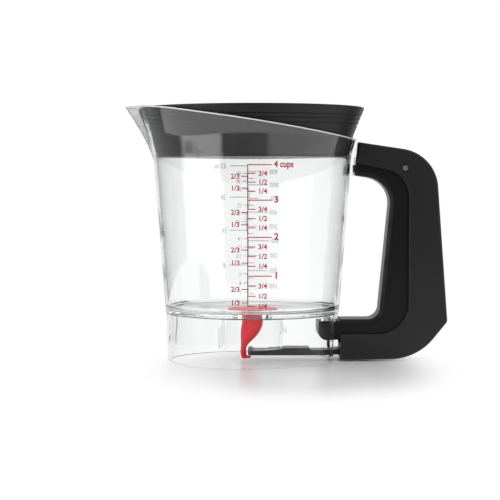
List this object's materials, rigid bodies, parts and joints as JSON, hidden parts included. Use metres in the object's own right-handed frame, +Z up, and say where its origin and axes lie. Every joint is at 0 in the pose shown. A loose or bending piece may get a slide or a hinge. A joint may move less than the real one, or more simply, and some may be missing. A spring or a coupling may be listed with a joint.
{
  "type": "gravy fat separator",
  "caption": "Clear spouted measuring cup on an open skirt, with a lift-out strainer and a squeeze lever in the handle that tips a stopper open in its floor.",
  "frame": {"origin": "on the cup's axis in the plane that the skirt stands on", "axes": "+Z up; +X from the cup's axis through the handle, -X through the spout; Y across"},
  "size_m": [0.1978, 0.1396, 0.1561],
  "materials": {
    "clear_plastic": "clear, polished",
    "black_plastic": "fine satin texture",
    "handle_plastic": "satin",
    "red_silicone": "satin silicone",
    "steel": "turned",
    "spring_steel": "drawn wire"
  },
  "bodies": {
    "vessel": {"cup": "clear_plastic", "drip_skirt": "clear_plastic", "grip_frame": "handle_plastic", "pivot_pin": "steel", "handle_screws": "steel", "return_spring": "spring_steel"},
    "lever": {"squeeze_lever": "handle_plastic", "trip_arm": "black_plastic", "arm_screws": "steel"},
    "stopper": {"drain_stopper": "red_silicone"},
    "strainer": {"strainer": "black_plastic"}
  },
  "joints": [
    {"name": "lever_squeeze", "type": "hinge", "parent": "vessel", "child": "lever", "pos_m": [0.0932, 0, 0.1182], "axis": [0, 1, 0], "range_deg": [0, 3], "stiffness_Nm_per_rad": 6, "springref_deg": -2.86, "deforming": ["return_spring"]},
    {"name": "stopper_tilt", "type": "hinge", "parent": "vessel", "child": "stopper", "pos_m": [0.0172, 0, 0.0306], "axis": [0, 1, 0], "range_deg": [0, 14]},
    {"name": "strainer_lift", "type": "slide", "parent": "vessel", "child": "strainer", "axis": [0, 0, 1], "range_m": [0, 0.06]}
  ],
  "couplings": [
    {"joint": "stopper_tilt", "follows": "lever_squeeze", "ratio": 4.66}
  ]
}
